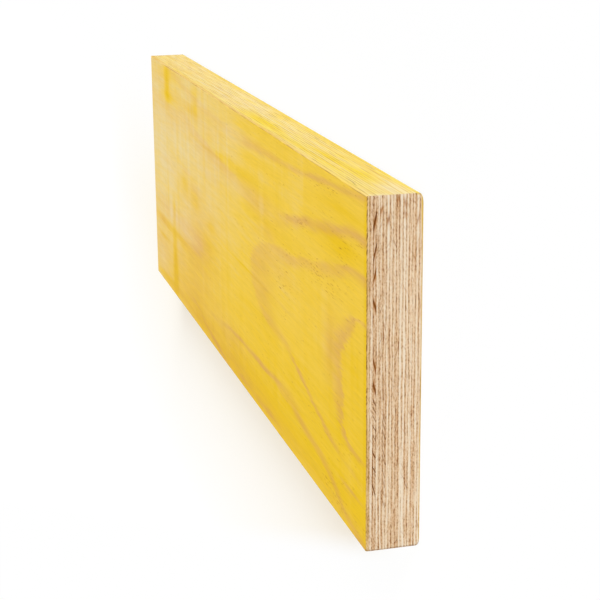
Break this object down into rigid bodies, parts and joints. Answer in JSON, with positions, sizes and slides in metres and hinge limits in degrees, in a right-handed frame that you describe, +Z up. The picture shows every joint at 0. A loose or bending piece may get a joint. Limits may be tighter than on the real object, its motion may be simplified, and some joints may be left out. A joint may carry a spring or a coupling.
{
  "type": "laminated veneer lumber plank",
  "caption": "Flat plank of laminated veneer lumber: parallel softwood veneers glued face to face, with eased long edges, square-cut ends and a yellow stain on the faces and edges.",
  "frame": {"origin": "middle of the underside, where the back veneer rests on the floor", "axes": "+X along the length and the grain, +Y across the depth, +Z up through the veneers"},
  "size_m": [0.9144, 0.2858, 0.0444],
  "materials": {
    "stained_veneer": "rotary-cut softwood veneer under a yellow semi-transparent stain",
    "light_veneer": "pale softwood veneer, bare at the sawn ends and lightly stained on the long edges",
    "tan_veneer": "darker softwood veneer, bare at the sawn ends and lightly stained on the long edges"
  },
  "bodies": {
    "root": {"face_veneer": "stained_veneer", "back_veneer": "stained_veneer", "core_veneer_02": "tan_veneer", "core_veneer_03": "light_veneer", "core_veneer_04": "tan_veneer", "core_veneer_05": "light_veneer", "core_veneer_06": "tan_veneer", "core_veneer_07": "light_veneer", "core_veneer_08": "tan_veneer", "core_veneer_09": "light_veneer", "core_veneer_10": "tan_veneer", "core_veneer_11": "light_veneer", "core_veneer_12": "tan_veneer", "core_veneer_13": "light_veneer", "core_veneer_14": "tan_veneer", "core_veneer_15": "light_veneer", "core_veneer_16": "tan_veneer"}
  },
  "joints": []
}
